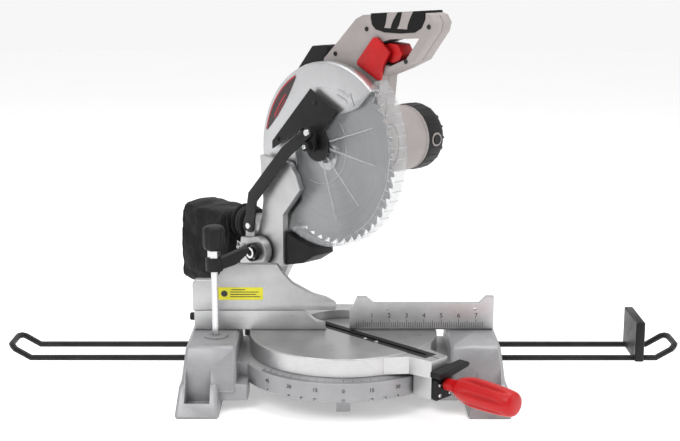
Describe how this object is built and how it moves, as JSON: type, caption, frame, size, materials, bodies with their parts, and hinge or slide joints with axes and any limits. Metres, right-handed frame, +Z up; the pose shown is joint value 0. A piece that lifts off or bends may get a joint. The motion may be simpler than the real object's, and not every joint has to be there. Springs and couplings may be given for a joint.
{
  "type": "compound miter saw",
  "caption": "Bench saw whose motor head chops down, tilts and turns with a round table, with a fence, a clear blade guard, a work clamp and wire extensions.",
  "frame": {"origin": "on the floor, under the turntable axis, at the underside of the base", "axes": "+X along the fence to the right, +Y towards the back, +Z up"},
  "size_m": [0.9722, 0.5042, 0.5548],
  "materials": {
    "grey_base": "satin grey paint",
    "cast_aluminium": "cast, satin",
    "bright_steel": "bright",
    "blade_steel": "ground",
    "black_metal": "satin black",
    "black_plastic": "matte",
    "red_plastic": "semi-gloss",
    "warm_grey_plastic": "satin",
    "black_rubber": "matte",
    "black_cloth": "woven",
    "copper": "wound copper",
    "clear_plastic": "clear polycarbonate"
  },
  "bodies": {
    "base": {"base_casting": "grey_base", "fence": "cast_aluminium", "turntable_pivot_bolt": "bright_steel"},
    "sliding_fence": {"sliding_fence": "cast_aluminium"},
    "fence_lock": {"fence_lock_screw": "black_metal"},
    "turntable": {"turntable": "cast_aluminium", "kerf_insert": "black_plastic", "arm_bracket": "black_plastic", "bevel_pivot_bolt": "bright_steel"},
    "detent": {"detent_lever": "black_plastic"},
    "mitre_lock": {"mitre_lock_rod": "bright_steel", "mitre_lock_handle": "red_plastic"},
    "bevel": {"bevel_bracket": "cast_aluminium", "head_pivot_shaft": "bright_steel", "link_anchor_bolt": "bright_steel", "torsion_spring": "black_metal"},
    "bevel_lock": {"bevel_lock_lever": "black_plastic"},
    "head_lock_pin": {"head_lock_pin": "bright_steel"},
    "head": {"head_arm": "cast_aluminium", "upper_guard": "cast_aluminium", "arbor_cover_plate": "black_metal", "spindle_bearing": "bright_steel", "gear_housing": "warm_grey_plastic", "motor_housing": "warm_grey_plastic", "motor_end_cap": "black_plastic", "field_core": "black_metal", "brush_cap_front": "black_plastic", "brush_cap_rear": "black_plastic", "carbon_brush_front": "black_metal", "carbon_brush_rear": "black_metal", "handle_left_shell": "warm_grey_plastic", "handle_right_shell": "warm_grey_plastic", "grip_pad": "black_rubber", "trigger_switch": "black_plastic", "carry_handle": "black_plastic", "dust_chute": "black_plastic", "dust_bag": "black_cloth", "cable_gland": "black_rubber"},
    "blade": {"saw_blade": "blade_steel", "inner_flange": "bright_steel", "outer_flange": "bright_steel", "arbor_bolt": "black_metal", "spindle": "bright_steel", "spindle_gear": "bright_steel"},
    "armature": {"armature": "copper"},
    "lower_guard": {"lower_guard": "clear_plastic", "guard_hub": "black_plastic"},
    "guard_link": {"guard_link": "black_metal", "link_pin": "bright_steel"},
    "guard_release": {"guard_release_lever": "red_plastic"},
    "trigger": {"trigger": "red_plastic"},
    "spindle_lock": {"spindle_lock_button": "black_plastic"},
    "clamp": {"clamp_rod": "bright_steel", "clamp_arm": "black_plastic", "clamp_nut": "bright_steel"},
    "clamp_knob": {"clamp_knob": "black_plastic"},
    "left_bar": {"left_extension_bar": "black_metal"},
    "right_bar": {"right_extension_bar": "black_metal"},
    "stop": {"stop_block": "black_metal"}
  },
  "joints": [
    {"name": "fence_slide", "type": "slide", "parent": "base", "child": "sliding_fence", "axis": [1, 0, 0], "range_m": [-0.06, 0]},
    {"name": "fence_lock_turn", "type": "hinge", "parent": "base", "child": "fence_lock", "pos_m": [-0.21, 0.006, 0.107], "axis": [1, 0, 0], "range_deg": [0, 180]},
    {"name": "mitre_turn", "type": "hinge", "parent": "base", "child": "turntable", "pos_m": [0, 0, 0.088], "axis": [0, 0, 1], "range_deg": [-92, 2]},
    {"name": "detent_press", "type": "hinge", "parent": "turntable", "child": "detent", "pos_m": [0.13506, -0.14071, 0.073], "axis": [0.7071, -0.7071, 0], "range_deg": [0, 8], "stiffness_Nm_per_rad": 1.5, "springref_deg": -14.32},
    {"name": "mitre_lock_turn", "type": "hinge", "parent": "turntable", "child": "mitre_lock", "pos_m": [0.17678, -0.17678, 0.055], "axis": [0.7071, -0.7071, 0], "range_deg": [-90, 90]},
    {"name": "bevel_tilt", "type": "hinge", "parent": "turntable", "child": "bevel", "pos_m": [0, 0, 0.088], "axis": [-0.7071, 0.7071, 0], "range_deg": [-17.5, 0]},
    {"name": "bevel_lock_turn", "type": "hinge", "parent": "turntable", "child": "bevel_lock", "pos_m": [-0.1492, 0.1492, 0.088], "axis": [0.7071, -0.7071, 0], "range_deg": [-20, 35]},
    {"name": "lock_pin_pull", "type": "slide", "parent": "bevel", "child": "head_lock_pin", "axis": [-0.7071, -0.7071, 0], "range_m": [0, 0.008]},
    {"name": "chop_pivot", "type": "hinge", "parent": "bevel", "child": "head", "pos_m": [-0.10324, 0.10324, 0.188], "axis": [0.7071, 0.7071, 0], "range_deg": [0, 48.3]},
    {"name": "blade_spin", "type": "hinge", "parent": "head", "child": "blade", "pos_m": [-0.0198, 0.0198, 0.343], "axis": [0.7071, 0.7071, 0], "continuous": true},
    {"name": "motor_spin", "type": "hinge", "parent": "head", "child": "armature", "pos_m": [0.00424, -0.00424, 0.361], "axis": [0.7071, 0.7071, 0], "continuous": true},
    {"name": "guard_swing", "type": "hinge", "parent": "head", "child": "lower_guard", "pos_m": [-0.02546, 0.02546, 0.36], "axis": [-0.7071, -0.7071, 0], "range_deg": [0, 110]},
    {"name": "link_swing", "type": "hinge", "parent": "bevel", "child": "guard_link", "pos_m": [-0.11738, 0.11738, 0.224], "axis": [0.7071, 0.7071, 0], "range_deg": [0, 49]},
    {"name": "guard_release_press", "type": "hinge", "parent": "head", "child": "guard_release", "pos_m": [0.02546, -0.02546, 0.496], "axis": [0.7071, 0.7071, 0], "range_deg": [0, 12], "stiffness_Nm_per_rad": 0.6, "springref_deg": -11.46},
    {"name": "trigger_squeeze", "type": "slide", "parent": "head", "child": "trigger", "axis": [-0.7071, 0.7071, 0], "range_m": [0, 0.005], "stiffness_N_per_m": 500, "springref_m": -0.008},
    {"name": "spindle_lock_press", "type": "slide", "parent": "head", "child": "spindle_lock", "axis": [0, 0, -1], "range_m": [0, 0.003], "stiffness_N_per_m": 600, "springref_m": -0.004},
    {"name": "clamp_swing", "type": "hinge", "parent": "base", "child": "clamp", "pos_m": [-0.184, -0.03, 0.088], "axis": [0, 0, 1], "range_deg": [-60, 60]},
    {"name": "clamp_screw", "type": "hinge", "parent": "clamp", "child": "clamp_knob", "pos_m": [-0.184, -0.03, 0.234], "axis": [0, 0, 1], "range_deg": [-170, 170]},
    {"name": "left_bar_slide", "type": "slide", "parent": "base", "child": "left_bar", "axis": [-1, 0, 0], "range_m": [0, 0.11]},
    {"name": "right_bar_slide", "type": "slide", "parent": "base", "child": "right_bar", "axis": [1, 0, 0], "range_m": [0, 0.11]},
    {"name": "stop_slide", "type": "slide", "parent": "right_bar", "child": "stop", "axis": [1, 0, 0], "range_m": [-0.12, 0.01]}
  ],
  "couplings": [
    {"joint": "motor_spin", "follows": "blade_spin", "ratio": -4.5},
    {"joint": "guard_swing", "follows": "chop_pivot", "ratio": 2.2529},
    {"joint": "link_swing", "follows": "chop_pivot", "ratio": 0.9921}
  ]
}
